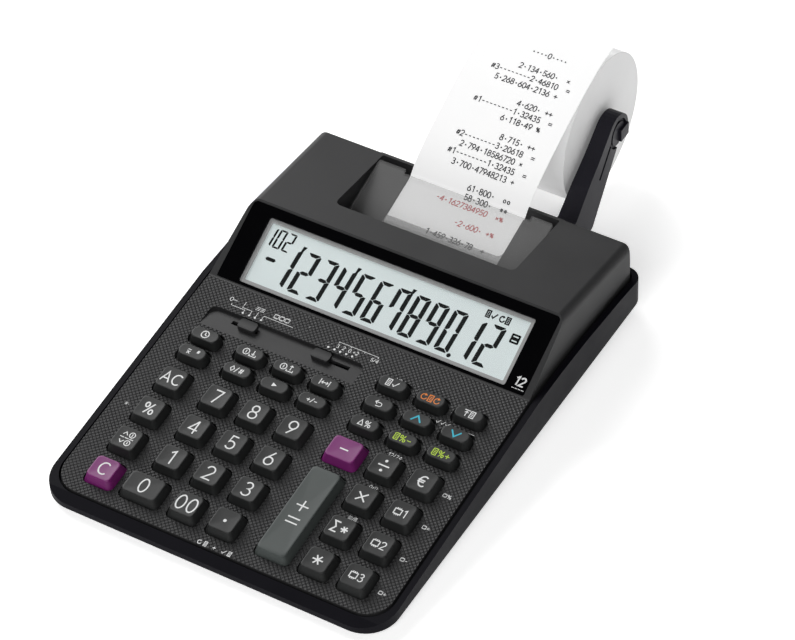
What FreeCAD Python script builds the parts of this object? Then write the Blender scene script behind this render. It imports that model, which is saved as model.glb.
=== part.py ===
"""Printing desk calculator: two-part case, 43 push keys, two slide switches, tilted display,
paper roll on a folding holder, printed strip, smoked tear cover and the works inside.

Everything is drawn in the case's own frame: +X right, +Y from the front edge to the back,
+Z up from the flat underside.  The whole machine is then tilted back by CASE_TILT onto its
taller rear feet, and moved so that the middle of its footprint is the origin.
"""
import FreeCAD, Part
import math
import os

V = FreeCAD.Vector

# ---------------------------------------------------------------- driving dimensions, in mm
CASE_WIDTH = 165.0
CASE_DEPTH = 224.5
CASE_TILT = 1.6                 # degrees, the rear feet are taller than the front ones
UNDERSIDE = 1.5                 # height of the case's underside above the front feet's soles
FLOOR_T = 1.6                   # lower case floor
RIM_SIDE = 2.7                  # lighter ledge of the lower case around the upper case
RIM_FRONT = 5.2
GROOVE = 1.0                    # shadow gap between the two case halves
CORNER_FRONT = 15.0
CORNER_REAR = 8.0

DECK_ANGLE = 6.36               # degrees, slope of the key deck
DECK_START = 6.63               # deck height carried forward to y = 0
DECK_T = 1.5
WALL_T = 2.0
PANEL_LOW = 129.3               # y of the lower edge of the display slope
PANEL_HIGH = (164.1, 38.8)      # y, z of its upper edge
REAR_TOP = (221.4, 32.4)        # y, z of the rear top edge

KEY_GAP = 0.4                   # air around a key in its hole
MAIN_TOP = (11.3, 11.1)         # flat top of a square key
SMALL_TOP = (12.8, 6.2)         # flat top of an oval key
SKIRT = 1.35                    # how far a key spreads from its top to its foot
MAIN_H = 3.7
SMALL_H = 3.5
COLUMNS = {"a": -60.3, "b": -38.0, "c": -19.6, "d": -1.1, "e": 24.0, "f": 42.9, "g": 61.1}
ROWS = {1: 19.2, 2: 36.6, 3: 54.0, 4: 71.5}
LEFT_ROWS = {5: 87.5, 6: 97.8}
RIGHT_ROWS = {5: 86.9, 6: 98.4, 7: 109.9}
OVAL_COLUMN_E = 24.7

PAPER_W = 57.0
PAPER_X = 1.0                   # middle of the paper
PAPER_T = 0.3
ROLL_Y, ROLL_Z, ROLL_R = 283.5, 29.5, 35.0
CORE_R = 6.0
SPINDLE_R = 5.0
PIVOT_Y, PIVOT_Z = 231.5, 7.5   # fold axis of the roll holder
PLATEN_Y, PLATEN_Z, PLATEN_R = 193.0, 13.2, 5.0
DRIVE_WHEEL_X = (-42.0, -39.0)

RECESS_LEFT, RECESS_RIGHT = -44.6, 43.8       # opening above the printer
RECESS_FRONT, RECESS_BACK = 178.4, 219.2
RECESS_WALL = 1.6
COVER_HINGE = (183.4, 23.9)     # y, z of the tear cover's hinge pins
COVER_SLOPE = 14.3              # degrees
COVER_REACH = 33.0              # from the hinge to the tear cover's free edge
COVER_T = 1.6
COVER_GAP = 1.0                 # air beside the cover
TEAR_NOTCH = 2.2                # depth of the paper's notch in the free edge
SLOT_Z = 17.0                   # paper inlet in the rear wall
BAY_X, BAY_FRONT, BAY_BACK, BAY_TOP = 55.5, 138.0, 170.0, 16.9
DOOR_T = 1.4

os.makedirs("parts", exist_ok=True)
PARTS = {}


# ---------------------------------------------------------------- small geometry helpers
def deck_z(y):
    return DECK_START + math.tan(math.radians(DECK_ANGLE)) * y


def box(x0, x1, y0, y1, z0, z1):
    return Part.makeBox(x1 - x0, y1 - y0, z1 - z0, V(x0, y0, z0))


def rod_x(x0, x1, y, z, r):
    return Part.makeCylinder(r, x1 - x0, V(x0, y, z), V(1, 0, 0))


def rod_z(x, y, z0, z1, r):
    return Part.makeCylinder(r, z1 - z0, V(x, y, z0), V(0, 0, 1))


def prism_x(points, x0, x1):
    """Closed outline in the YZ plane, carried from x0 to x1."""
    ring = [V(x0, y, z) for y, z in points]
    return Part.Face(Part.makePolygon(ring + ring[:1])).extrude(V(x1 - x0, 0, 0))


def rounded_wire(x0, x1, y0, y1, r_front, r_rear, z):
    """Rectangle with rounded corners in a level plane."""
    k = math.sqrt(0.5)
    spots = [
        (x1 - r_front, y0, x1, y0 + r_front, x1 - r_front, y0 + r_front, k, -k, r_front),
        (x1, y1 - r_rear, x1 - r_rear, y1, x1 - r_rear, y1 - r_rear, k, k, r_rear),
        (x0 + r_rear, y1, x0, y1 - r_rear, x0 + r_rear, y1 - r_rear, -k, k, r_rear),
        (x0, y0 + r_front, x0 + r_front, y0, x0 + r_front, y0 + r_front, -k, -k, r_front),
    ]
    edges, first, last = [], None, None
    for ax, ay, bx, by, cx, cy, kx, ky, r in spots:
        start, end = V(ax, ay, z), V(bx, by, z)
        middle = V(cx + kx * r, cy + ky * r, z)
        if last is not None:
            edges.append(Part.LineSegment(last, start).toShape())
        else:
            first = start
        edges.append(Part.Arc(start, middle, end).toShape())
        last = end
    edges.append(Part.LineSegment(last, first).toShape())
    return Part.Wire(edges)


def rounded_block(x0, x1, y0, y1, r_front, r_rear, z0, z1):
    face = Part.Face(rounded_wire(x0, x1, y0, y1, r_front, r_rear, z0))
    return face.extrude(V(0, 0, z1 - z0))


def centred_block(width, depth, r, z0, z1):
    return rounded_block(-width / 2, width / 2, -depth / 2, depth / 2, r, r, z0, z1)


def on_deck(shape, x, y):
    """Turn a shape drawn on the level onto the sloping key deck at x, y."""
    placed = shape.copy()
    placed.rotate(V(0, 0, 0), V(1, 0, 0), DECK_ANGLE)
    placed.translate(V(x, y, deck_z(y)))
    return placed


def ribbon(path, thickness, x0, x1):
    """Sheet of even thickness that follows a path in the YZ plane."""
    count = len(path)
    upper, lower = [], []
    for i, (y, z) in enumerate(path):
        y0, z0 = path[max(i - 1, 0)]
        y1, z1 = path[min(i + 1, count - 1)]
        length = math.hypot(y1 - y0, z1 - z0)
        ny, nz = -(z1 - z0) / length, (y1 - y0) / length
        upper.append((y + ny * thickness / 2, z + nz * thickness / 2))
        lower.append((y - ny * thickness / 2, z - nz * thickness / 2))
    return prism_x(upper + lower[::-1], x0, x1)


def arc_points(y, z, r, start, end, steps):
    """Points on a circle in the YZ plane; angles in degrees from +Y towards +Z."""
    sweep = [math.radians(start + (end - start) * i / steps) for i in range(steps + 1)]
    return [(y + r * math.cos(a), z + r * math.sin(a)) for a in sweep]


def fuse(shapes):
    return shapes[0].multiFuse(shapes[1:]) if len(shapes) > 1 else shapes[0]


def round_edges(shape, radius, wanted):
    chosen = [edge for edge in shape.Edges if wanted(edge)]
    return shape.makeFillet(radius, chosen) if chosen else shape


def add(name, *shapes):
    """Store a sub-part; several shapes stay separate solids of one node."""
    solids = [solid for shape in shapes for solid in shape.Solids]
    PARTS[name] = solids[0] if len(solids) == 1 else Part.makeCompound(solids)


# ---------------------------------------------------------------- keys
def key_table():
    """name -> (x, y, top width, top depth, height, corner radius)"""
    table = {}

    def main(name, column, row, width=MAIN_TOP[0], depth=MAIN_TOP[1], x=None, y=None):
        place_x = COLUMNS[column] if x is None else x
        place_y = ROWS[row] if y is None else y
        table["key_" + name] = (place_x, place_y, width, depth, MAIN_H, 2.0)

    for column, names in {
        "a": ("clear_entry", "markup", "percent", "clear_all"),
        "c": ("00", "2", "5", "8"),
        "d": ("point", "3", "6", "9"),
        "f": ("total", "grand_total", "multiply", "divide"),
        "g": ("memory_3", "memory_2", "memory_1", "currency"),
    }.items():
        for row, name in enumerate(names, start=1):
            main(name, column, row)
    for row, name in enumerate(("1", "4", "7"), start=2):
        main(name, "b", row)
    main("0", "b", 1, width=16.3, x=-40.5)
    main("minus", "e", 4, width=13.7)
    main("plus_equals", "e", 1, width=13.4, depth=45.8, x=23.6, y=36.5)

    def oval(name, x, y):
        table["key_" + name] = (x, y, SMALL_TOP[0], SMALL_TOP[1], SMALL_H, SMALL_TOP[1] * 0.47)

    for row, names in {
        5: ("average", "subtotal", "backspace", "sign"),
        6: ("clock", "cost", "sell", "margin"),
    }.items():
        for column, name in zip("abcd", names):
            oval(name, COLUMNS[column], LEFT_ROWS[row])
    for row, names in {
        5: ("delta_percent", "tax_minus", "tax_plus"),
        6: ("correct", "check_back", "check_on"),
        7: ("print", "reprint", "feed"),
    }.items():
        for x, name in zip((OVAL_COLUMN_E, COLUMNS["f"], COLUMNS["g"]), names):
            oval(name, x, RIGHT_ROWS[row])
    return table


KEYS = key_table()


def key_shape(width, depth, height, corner):
    """Cap that spreads to a skirt, with a softened top edge and a retaining flange below."""
    soft = 0.4
    sink = -0.9

    def ring(grow, level, radius):
        w, d = width / 2 + grow, depth / 2 + grow
        return rounded_wire(-w, w, -d, d, radius, radius, level)

    cap = Part.makeLoft(
        [
            ring(SKIRT, sink, corner + SKIRT * 0.6),
            ring(0.0, height - soft, corner),
            ring(-soft, height, corner - soft * 0.8),
        ],
        True,
        True,
    )
    foot_w, foot_d = width + 2 * SKIRT, depth + 2 * SKIRT
    neck = centred_block(foot_w - 0.4, foot_d - 0.4, corner, -1.8, sink)
    flange = centred_block(foot_w + 2.0, foot_d + 1.2, corner, -2.05, -1.7)
    return cap.fuse(neck).fuse(flange).removeSplitter()


def key_hole(width, depth, corner):
    grow = 2 * (SKIRT + KEY_GAP)
    return centred_block(width + grow, depth + grow, corner + SKIRT * 0.6, -4.0, 4.0)


def make_keys():
    for name, (x, y, width, depth, height, corner) in KEYS.items():
        add(name, on_deck(key_shape(width, depth, height, corner), x, y))


# ---------------------------------------------------------------- slide switches
SWITCH_Y = 111.4
SWITCHES = {                    # name: (x at rest, lowest travel, highest travel)
    "mode_switch_knob": (-47.9, -6.2, 3.1),
    "rounding_switch_knob": (-11.4, 0.0, 11.6),
}
KNOB_W, KNOB_D = 8.4, 5.2
STEM_W, STEM_D = 3.0, 1.6
SCOOP = (-68.0, 8.0, 104.0, 115.4, 1.7)      # x0, x1, front y, rear y, depth at the rear


def switch_floor(y):
    """Depth of the scoop below the deck at y, measured along z."""
    return SCOOP[4] * (y - SCOOP[2]) / (SCOOP[3] - SCOOP[2])


def make_switches():
    for name, (x, low, high) in SWITCHES.items():
        drop = switch_floor(SWITCH_Y)
        cap = centred_block(KNOB_W, KNOB_D, 1.2, -drop + 0.5, 1.5)
        cap = round_edges(cap, 0.5, lambda e: min(v.Z for v in e.Vertexes) > 1.4)
        cap = cap.cut(Part.makeCylinder(9.0, 20, V(-10, 0.0, 10.15), V(1, 0, 0)))
        stem = box(-STEM_W / 2, STEM_W / 2, -STEM_D / 2, STEM_D / 2, -drop - 3.0, -drop + 0.8)
        slider = centred_block(11.0, 4.4, 0.5, -drop - 3.4, -drop - 2.4)
        add(name, on_deck(fuse([cap, stem, slider]), x, SWITCH_Y))


# ---------------------------------------------------------------- case
def rim_profile(lower_by=0.0):
    """Top line of the lower case, from front to back: y, z."""
    line = [(-1.0, 5.1), (0.0, 5.2), (RIM_FRONT, 6.7), (130.0, 20.3), (150.0, 20.7)]
    line += [(172.0, 20.0), (200.0, 17.8), (CASE_DEPTH + 1.0, 14.8)]
    return [(y, z - lower_by) for y, z in line]


def below_rim(x0, x1, lower_by=0.0, bottom=UNDERSIDE):
    top = rim_profile(lower_by)
    return prism_x([(top[0][0], bottom)] + top + [(top[-1][0], bottom)], x0, x1)


def case_plan(inset_side, inset_front, z0, z1):
    half = CASE_WIDTH / 2 - inset_side
    r_front = max(CORNER_FRONT - inset_side, 2.0)
    r_rear = max(CORNER_REAR - inset_side, 1.5)
    rear = CASE_DEPTH - inset_side
    return rounded_block(-half, half, inset_front, rear, r_front, r_rear, z0, z1)


SCREWS = [(side * x, y) for x, y in ((73.0, 45.0), (69.0, 128.0), (69.0, 205.0)) for side in (-1, 1)]
LUG_X = 43.6                    # outer faces of the holder's base
LUG_T = 4.0


def make_lower_case():
    shell = case_plan(0.0, 0.0, UNDERSIDE, 40.0).common(below_rim(-90, 90))
    shell = round_edges(
        shell, 1.2, lambda e: max(v.Z for v in e.Vertexes) < UNDERSIDE + 0.01 and e.Length > 5
    )
    ledge_drop = 2.6
    shell = shell.cut(case_plan(RIM_SIDE, RIM_FRONT, 3.4, 40.0).cut(below_rim(-90, 90, ledge_drop)))
    shell = shell.cut(case_plan(5.7, 8.6, UNDERSIDE + FLOOR_T, 40.0))
    hollow = case_plan(2.2, 14.0, UNDERSIDE + FLOOR_T, 40.0)
    shell = shell.cut(hollow.common(below_rim(-90, 90, 4.4)))

    # battery bay: a box that opens downwards, with a shallow seat for its door
    wall = 1.5
    bay = box(-BAY_X - wall, BAY_X + wall, BAY_FRONT - wall, BAY_BACK + wall, UNDERSIDE, BAY_TOP + wall)
    bay = bay.cut(box(-BAY_X, BAY_X, BAY_FRONT, BAY_BACK, 0.0, BAY_TOP))
    seat = box(-BAY_X - 2.4, BAY_X + 2.4, BAY_FRONT - 2.4, BAY_BACK + 3.4, 0.0, UNDERSIDE + DOOR_T + 0.1)
    rails = box(-BAY_X - 4, BAY_X + 4, BAY_FRONT - 4, BAY_BACK + 5, UNDERSIDE + 1.0, UNDERSIDE + 2.8)
    shell = shell.fuse(rails)
    mouth = box(-BAY_X, BAY_X, BAY_FRONT, BAY_BACK, 0.0, 12.0)
    shell = shell.cut(seat).cut(mouth).fuse(bay).cut(seat)
    for side in (-1, 1):
        x0 = side * (BAY_X + 2.4)
        shell = shell.cut(rod_x(min(x0, x0 + side * 1.4), max(x0, x0 + side * 1.4), DOOR_Y, DOOR_Z, 0.75))
    latch = box(-8.2, 8.2, BAY_BACK + 3.0, BAY_BACK + 4.8, UNDERSIDE + 0.55, UNDERSIDE + DOOR_T + 0.2)
    shell = shell.cut(latch)

    # screw posts and the lugs that carry the holder's hinge pins
    for x, y in SCREWS:
        top = 6.4 if y < 60 else 14.0
        if y > 150:
            top = 12.0
        shell = shell.fuse(rod_z(x, y, UNDERSIDE + 0.2, top, 3.4))
    for x, y in SCREWS:
        shell = shell.cut(rod_z(x, y, 0.0, 40.0, 1.55)).cut(rod_z(x, y, 0.0, UNDERSIDE + 1.3, 2.75))
    for side in (-1, 1):
        inner = LUG_X + 0.4
        x0, x1 = sorted((PAPER_X + side * inner, PAPER_X + side * (inner + LUG_T)))
        cheek = rod_x(x0, x1, PIVOT_Y, PIVOT_Z, 5.0)
        cheek = cheek.fuse(box(x0, x1, CASE_DEPTH - 1.5, PIVOT_Y, 3.2, PIVOT_Z + 5.0))
        shell = shell.fuse(cheek).cut(rod_x(x0 - 1, x1 + 1, PIVOT_Y, PIVOT_Z, 2.05))
    add("lower_case", shell.removeSplitter())


def upper_outline(shrink=0.0):
    """Side outline of the upper case; shrink gives the inner face."""
    y_front = RIM_FRONT + GROOVE + shrink
    skin = DECK_T if shrink else 0.0
    top = shrink
    slope = math.atan2(PANEL_HIGH[1] - deck_z(PANEL_LOW), PANEL_HIGH[0] - PANEL_LOW)
    return [
        (y_front, 2.0),
        (y_front, deck_z(y_front) - skin),
        (PANEL_LOW + top * math.sin(slope) * 0.6, deck_z(PANEL_LOW) - skin),
        (PANEL_HIGH[0] + top * 0.35, PANEL_HIGH[1] - top * 1.02),
        (REAR_TOP[0] - shrink - 0.6, REAR_TOP[1] - top * 1.02),
        (REAR_TOP[0] - shrink - 0.6, 2.0),
    ]


def housing_section(half_low, half_high, top):
    """Front outline: upright at the rim, leaning in towards the top of the housing."""
    ring = [(-half_low, 0), (-half_low, 19.5), (-half_high, top), (half_high, top)]
    ring += [(half_low, 19.5), (half_low, 0)]
    pts = [V(x, -5, z) for x, z in ring]
    return Part.Face(Part.makePolygon(pts + pts[:1])).extrude(V(0, 240, 0))


def upper_solid(shrink):
    side = RIM_SIDE + GROOVE + shrink
    plan = case_plan(side, RIM_FRONT + GROOVE + shrink, 0.0, 60.0)
    body = prism_x(upper_outline(shrink), -90, 90).common(plan)
    body = body.common(housing_section(78.8 - shrink, 76.2 - shrink, 42.0))
    return body


def upright_at(edge, y, z, tol=0.9):
    """True for an edge along X through y, z."""
    box_ = edge.BoundBox
    return box_.XLength > 60 and abs(box_.Center.y - y) < tol and abs(box_.Center.z - z) < tol


def make_upper_case():
    outer = upper_solid(0.0)

    def is_long_shoulder(edge):
        b = edge.BoundBox
        return b.YLength > 30 and b.ZLength > 4 and b.ZMax > 36 and b.XLength < 3

    outer = round_edges(outer, 4.0, lambda e: is_long_shoulder(e) and e.BoundBox.YMin > 160)
    outer = round_edges(outer, 0.8, lambda e: upright_at(e, REAR_TOP[0] - 0.6, REAR_TOP[1]))
    case = outer.cut(upper_solid(WALL_T))
    below = below_rim(-90, 90, 2.6, bottom=-1.0)
    case = case.cut(below)

    # well above the printer
    frame = box(RECESS_LEFT - RECESS_WALL, RECESS_RIGHT + RECESS_WALL,
                RECESS_FRONT - RECESS_WALL, RECESS_BACK + RECESS_WALL, 16.0, 38.0)
    case = case.fuse(frame.common(prism_x(upper_outline(0.0), -90, 90)))
    well = rounded_block(RECESS_LEFT, RECESS_RIGHT, RECESS_FRONT, RECESS_BACK, 3.0, 0.6, 0.0, 60.0)
    case = case.cut(well)
    case = case.cut(rod_x(RECESS_LEFT - 1.1, RECESS_RIGHT + 1.1, COVER_HINGE[0], COVER_HINGE[1], 0.95))

    # paper inlet
    inlet_half = PAPER_W / 2 + 3.0
    case = case.cut(
        box(PAPER_X - inlet_half, PAPER_X + inlet_half, RECESS_BACK - 1, 230.0, SLOT_Z - 2.2, SLOT_Z + 3.4)
    )

    # keyboard and switches
    holes = [on_deck(key_hole(w, d, c), x, y) for x, y, w, d, h, c in KEYS.values()]
    x0, x1, front, rear, depth = SCOOP
    side_view = [(front, deck_z(front)), (rear, deck_z(rear) - depth)]
    side_view += [(rear, deck_z(rear) + 3), (front, deck_z(front) + 3)]
    scoop = prism_x(side_view, x0, x1)
    scoop = scoop.common(rounded_block(x0, x1, front - 8, rear, 2.0, 3.5, 0.0, 60.0))
    under = box(x0 - 1.5, x1 + 1.5, front + 1.0, rear + 1.5, 0.0, 60.0).common(
        prism_x(
            [
                (front, deck_z(front) - DECK_T - 0.2),
                (rear + 3, deck_z(rear + 3) - DECK_T - depth - 0.6),
                (rear + 3, deck_z(rear + 3) - 0.5),
                (front, deck_z(front) - 0.5),
            ],
            x0 - 2,
            x1 + 2,
        )
    )
    case = case.fuse(under).cut(scoop)
    slot_end, slot_half = STEM_W / 2 + 0.4, STEM_D / 2 + 0.3
    for x, low, high in SWITCHES.values():
        slot = box(low - slot_end, high + slot_end, -slot_half, slot_half, -7, 4)
        holes.append(on_deck(slot, x, SWITCH_Y))
    case = case.cut(Part.makeCompound(holes))

    # seat for the display window, and the opening behind it
    case = case.cut(on_panel(panel_block(PANEL_HALF, 0.5, PANEL_LEN - 1.1, 2.2, -LENS_T, 2.0)))
    case = case.cut(on_panel(panel_block(66.0, 1.4, 33.6, 1.0, -8.0, 1.0)))

    # screw bosses that meet the posts of the lower case
    for x, y in SCREWS:
        low = 6.7 if y < 60 else 14.3
        if y > 150:
            low = 12.3
        boss = rod_z(x, y, low, 40.0, 3.2).common(upper_solid(0.6))
        case = case.fuse(boss).cut(rod_z(x, y, 0.0, min(low + 7.0, deck_z(y) - 0.9), 1.15))
    add("upper_case", case.removeSplitter())


# ---------------------------------------------------------------- display
PANEL_SLOPE = math.degrees(math.atan2(PANEL_HIGH[1] - deck_z(PANEL_LOW), PANEL_HIGH[0] - PANEL_LOW))
PANEL_LEN = math.hypot(PANEL_HIGH[1] - deck_z(PANEL_LOW), PANEL_HIGH[0] - PANEL_LOW)
PANEL_HALF = 75.3
LENS_T = 1.3


def panel_block(half, low, high, corner, z0, z1):
    return rounded_block(-half, half, low, high, 0.8, corner, z0, z1)


def on_panel(shape):
    placed = shape.copy()
    placed.rotate(V(0, 0, 0), V(1, 0, 0), PANEL_SLOPE)
    placed.translate(V(0, PANEL_LOW, deck_z(PANEL_LOW)))
    return placed


def make_display():
    lens = panel_block(PANEL_HALF - 0.15, 0.65, PANEL_LEN - 1.25, 2.05, -LENS_T + 0.02, 0.0)
    add("display_lens", on_panel(lens))
    glass = panel_block(65.0, 1.8, 33.0, 0.8, -LENS_T - 2.6, -LENS_T - 0.1)
    frame = panel_block(65.4, 1.6, 33.3, 0.8, -LENS_T - 4.2, -LENS_T - 2.7)
    add("lcd_module", on_panel(glass), on_panel(frame))


# ---------------------------------------------------------------- printer
def cover_point(along, off=0.0):
    """Point on the tear cover's middle plane, from its hinge towards the tear edge."""
    a = math.radians(COVER_SLOPE)
    y = COVER_HINGE[0] + along * math.cos(a) - off * math.sin(a)
    z = COVER_HINGE[1] + along * math.sin(a) + off * math.cos(a)
    return y, z


def make_printer_cover():
    left, right = RECESS_LEFT + COVER_GAP, RECESS_RIGHT - COVER_GAP
    t = COVER_T / 2
    side = [cover_point(0.0, -t), cover_point(COVER_REACH, -t)]
    side += [cover_point(COVER_REACH, t), cover_point(0.0, t)]
    plate = prism_x(side, left, right)
    notch_half = PAPER_W / 2 + 3.0
    tear_edge, clear = COVER_REACH - TEAR_NOTCH, COVER_REACH + 2
    notch = [cover_point(tear_edge, -3), cover_point(clear, -3)]
    notch += [cover_point(clear, 3), cover_point(tear_edge, 3)]
    plate = plate.cut(prism_x(notch, PAPER_X - notch_half, PAPER_X + notch_half))
    barrel = rod_x(left + 1.4, right - 1.4, COVER_HINGE[0], COVER_HINGE[1], 1.3)
    pins = rod_x(RECESS_LEFT - 0.9, RECESS_RIGHT + 0.9, COVER_HINGE[0], COVER_HINGE[1], 0.9)
    add("printer_cover", fuse([plate, barrel, pins]).removeSplitter())


# the printed strip's free run over the roll, from the tear edge to its end: y, z
STRIP_OUT = [(214.4, 31.0), (216.6, 34.2), (221.6, 38.6), (230.0, 43.9), (240.0, 49.2), (252.0, 55.0),
             (264.0, 60.2), (275.0, 64.3), (284.0, 66.6), (291.0, 67.6), (297.0, 67.9)]


def paper_path():
    """Centre line of the paper from the roll through the machine to the tear edge: y, z."""
    gap = 0.25 + PAPER_T / 2
    reach = math.hypot(ROLL_Y - REAR_TOP[0], ROLL_Z - SLOT_Z)
    turn = math.atan2(ROLL_Z - SLOT_Z, ROLL_Y - REAR_TOP[0]) - math.asin((ROLL_R + gap) / reach)
    run = math.sqrt(reach**2 - (ROLL_R + gap) ** 2)
    path = [(REAR_TOP[0] + run * math.cos(turn), SLOT_Z + run * math.sin(turn)), (REAR_TOP[0], SLOT_Z)]
    path += [(212.0, 16.2), (203.0, 10.6)]
    path += arc_points(PLATEN_Y, PLATEN_Z, PLATEN_R + gap, -70.0, -205.0, 12)
    under = -COVER_T / 2 - gap
    path += [cover_point(7.5, under), cover_point(30.0, under)]
    return path


def make_paper():
    half = PAPER_W / 2
    strip = ribbon(paper_path() + STRIP_OUT, PAPER_T, PAPER_X - half, PAPER_X + half)
    add("printed_strip", strip)
    roll = rod_x(PAPER_X - half, PAPER_X + half, ROLL_Y, ROLL_Z, ROLL_R)
    add("paper_roll", roll.cut(rod_x(PAPER_X - half - 1, PAPER_X + half + 1, ROLL_Y, ROLL_Z, CORE_R)))


def make_feed_roller():
    y, z = PLATEN_Y, PLATEN_Z
    rubber = rod_x(PAPER_X - 31, PAPER_X + 31, y, z, PLATEN_R)
    shaft = rod_x(-42.4, 37.5, y, z, 1.5)
    wheel = rod_x(*DRIVE_WHEEL_X, y, z, 5.6)
    teeth = []
    for i in range(20):
        tooth = box(*DRIVE_WHEEL_X, -0.35, 0.35, 5.2, 6.3)
        tooth.rotate(V(0, 0, 0), V(1, 0, 0), 18.0 * i)
        tooth.translate(V(0, y, z))
        teeth.append(tooth)
    add("feed_roller", fuse([rubber, shaft, wheel] + teeth).removeSplitter())


def make_printer_unit():
    y, z = PLATEN_Y, PLATEN_Z
    base = box(-41.0, 44.0, 184.0, 212.0, UNDERSIDE + FLOOR_T + 0.05, UNDERSIDE + FLOOR_T + 1.6)
    sides = []
    cheek_outline = [(185.0, 4.0), (211.0, 4.0), (211.0, 9.0), (199.0, 19.0), (187.0, 19.0)]
    for x0 in (-36.2, 33.6):
        cheek = prism_x(cheek_outline, x0, x0 + 2.2)
        sides.append(cheek.cut(rod_x(x0 - 1, x0 + 3.5, y, z, 1.56)))
    frame = fuse([base] + sides)
    rail = rod_x(-34.2, 33.8, 205.5, 6.9, 1.2)
    head = box(-12.0, 6.0, 200.4, 209.4, 5.0, 8.6).cut(rod_x(-13, 7, 205.5, 6.9, 1.5))
    motor = rod_x(-64.0, -46.5, y + 8.0, z, 7.6)
    pinion = rod_x(-46.6, -38.8, y + 8.0, z, 1.6)
    ink_roller = rod_x(46.5, 60.0, 200.0, 12.0, 6.5).cut(rod_x(46.0, 61.0, 200.0, 12.0, 1.4))
    ink_pin = rod_x(44.2, 62.0, 200.0, 12.0, 1.2)
    add("printer_unit", frame, rail, head, motor.fuse(pinion), ink_roller, ink_pin)


# ---------------------------------------------------------------- roll holder
ARM_INNER = PAPER_W / 2 + 1.5   # inner face of an arm, measured from the paper's middle
ARM_HEAD_T, ARM_FOOT_T = 7.0, 9.2
HEAD_Y, HEAD_Z, HEAD_R = 282.4, 29.4, 10.3
HUB_R = 5.0


def holder_arm(side):
    """One leaning arm: thicker at its foot, with a round head about the spindle."""
    outline = [(PIVOT_Y, PIVOT_Z + 4.4), (241.0, 11.8), (253.5, 21.3), (265.0, 28.8)]
    outline += arc_points(HEAD_Y, HEAD_Z, HEAD_R, 132.0, -14.0, 12)
    outline += [(286.3, 26.3), (257.8, -5.4), (254.5, -5.9), (243.0, -3.2)]
    outline += arc_points(PIVOT_Y, PIVOT_Z, 4.4, -70.0, -265.0, 10)
    inner = PAPER_X + side * ARM_INNER
    head, foot = inner + side * ARM_HEAD_T, inner + side * ARM_FOOT_T
    blade = prism_x(outline, *sorted((inner, foot)))
    taper = [V(foot, 238.0, -20), V(foot + side, 238.0, -20), V(foot + side, 300.0, -20)]
    taper += [V(head, 300.0, -20), V(head, HEAD_Y, -20)]
    blade = blade.cut(Part.Face(Part.makePolygon(taper + taper[:1])).extrude(V(0, 0, 90)))
    groove = [(264.0, 17.7), (276.5, 30.2), (277.9, 28.8), (265.4, 16.3)]
    blade = blade.cut(prism_x(groove, *sorted((head - side * 0.8, foot + side))))
    sunk = sorted((head - side * 0.8, head + side))
    moat = rod_x(*sunk, ROLL_Y, ROLL_Z, 7.4).cut(rod_x(*sunk, ROLL_Y, ROLL_Z, 5.8))
    latch = box(*sorted((head - side * 0.9, head + side * 1.2)), 284.2, 291.2, 24.6, 31.0)
    return blade.cut(moat).fuse(latch)


def make_roll_holder():
    """Two leaning arms joined by a bar at the fold axis, with stub spindles in the roll's core."""
    solids = [rod_x(PAPER_X - 30, PAPER_X + 30, PIVOT_Y, PIVOT_Z, 3.0)]
    for side in (-1, 1):
        inner = PAPER_X + side * ARM_INNER
        hub_end = PAPER_X + side * LUG_X
        pin_end = hub_end + side * (LUG_T + 0.2)
        solids.append(holder_arm(side))
        solids.append(rod_x(*sorted((inner - side * 9.0, inner + side * 0.5)), ROLL_Y, ROLL_Z, SPINDLE_R))
        solids.append(rod_x(*sorted((inner - side * 1.1, inner + side * 0.5)), ROLL_Y, ROLL_Z, 8.0))
        solids.append(rod_x(*sorted((inner, pin_end)), PIVOT_Y, PIVOT_Z, 2.0))
        solids.append(rod_x(*sorted((inner, hub_end)), PIVOT_Y, PIVOT_Z, HUB_R))
    add("roll_holder", fuse(solids).removeSplitter())


# ---------------------------------------------------------------- electronics
def make_electronics():
    def sheet(x0, x1, y0, y1, low, high):
        """Flat sheet parallel to the deck, between two depths below it."""
        slope = math.cos(math.radians(DECK_ANGLE))
        pts = [(y0, deck_z(y0) + low / slope), (y1, deck_z(y1) + low / slope)]
        pts += [(y1, deck_z(y1) + high / slope), (y0, deck_z(y0) + high / slope)]
        return prism_x(pts, x0, x1)

    mat = sheet(-70.0, 70.0, 11.0, 103.0, -3.75, -3.45)
    clear = [rod_z(x, y, 0, 40, 4.2) for x, y in SCREWS if y < 60]
    for hole in clear:
        mat = mat.cut(hole)
    right = sheet(15.0, 70.0, 102.0, 116.0, -3.75, -3.45)
    add("key_mat", fuse([mat, right]).removeSplitter())

    board = sheet(-72.0, 72.0, 10.0, 124.0, -4.55, -3.8)
    slots = [on_deck(box(-18, 18, -3.6, 3.6, -9, 0), x, SWITCH_Y) for x in (-47.9, -6.0)]
    for hole in clear + slots:
        board = board.cut(hole)
    processor = on_deck(box(-9, 9, -4, 4, -6.9, -4.6), -48.0, 96.0)
    driver = on_deck(box(-7, 7, -3, 3, -6.6, -4.6), 40.0, 96.0)
    contacts = []
    for side in (-1, 1):
        for y in (BAY_FRONT + 8.5, BAY_BACK - 8.5):
            x0, x1 = sorted((side * (BAY_X - 0.1), side * (BAY_X - 0.6)))
            contacts.append(box(x0, x1, y - 5.5, y + 5.5, 5.0, 15.5))
    add("circuit_board", board, processor, driver, *contacts)


# ---------------------------------------------------------------- battery door, feet, screws
DOOR_Y = BAY_FRONT - 2.4 + 0.95
DOOR_Z = UNDERSIDE + 0.75


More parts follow.
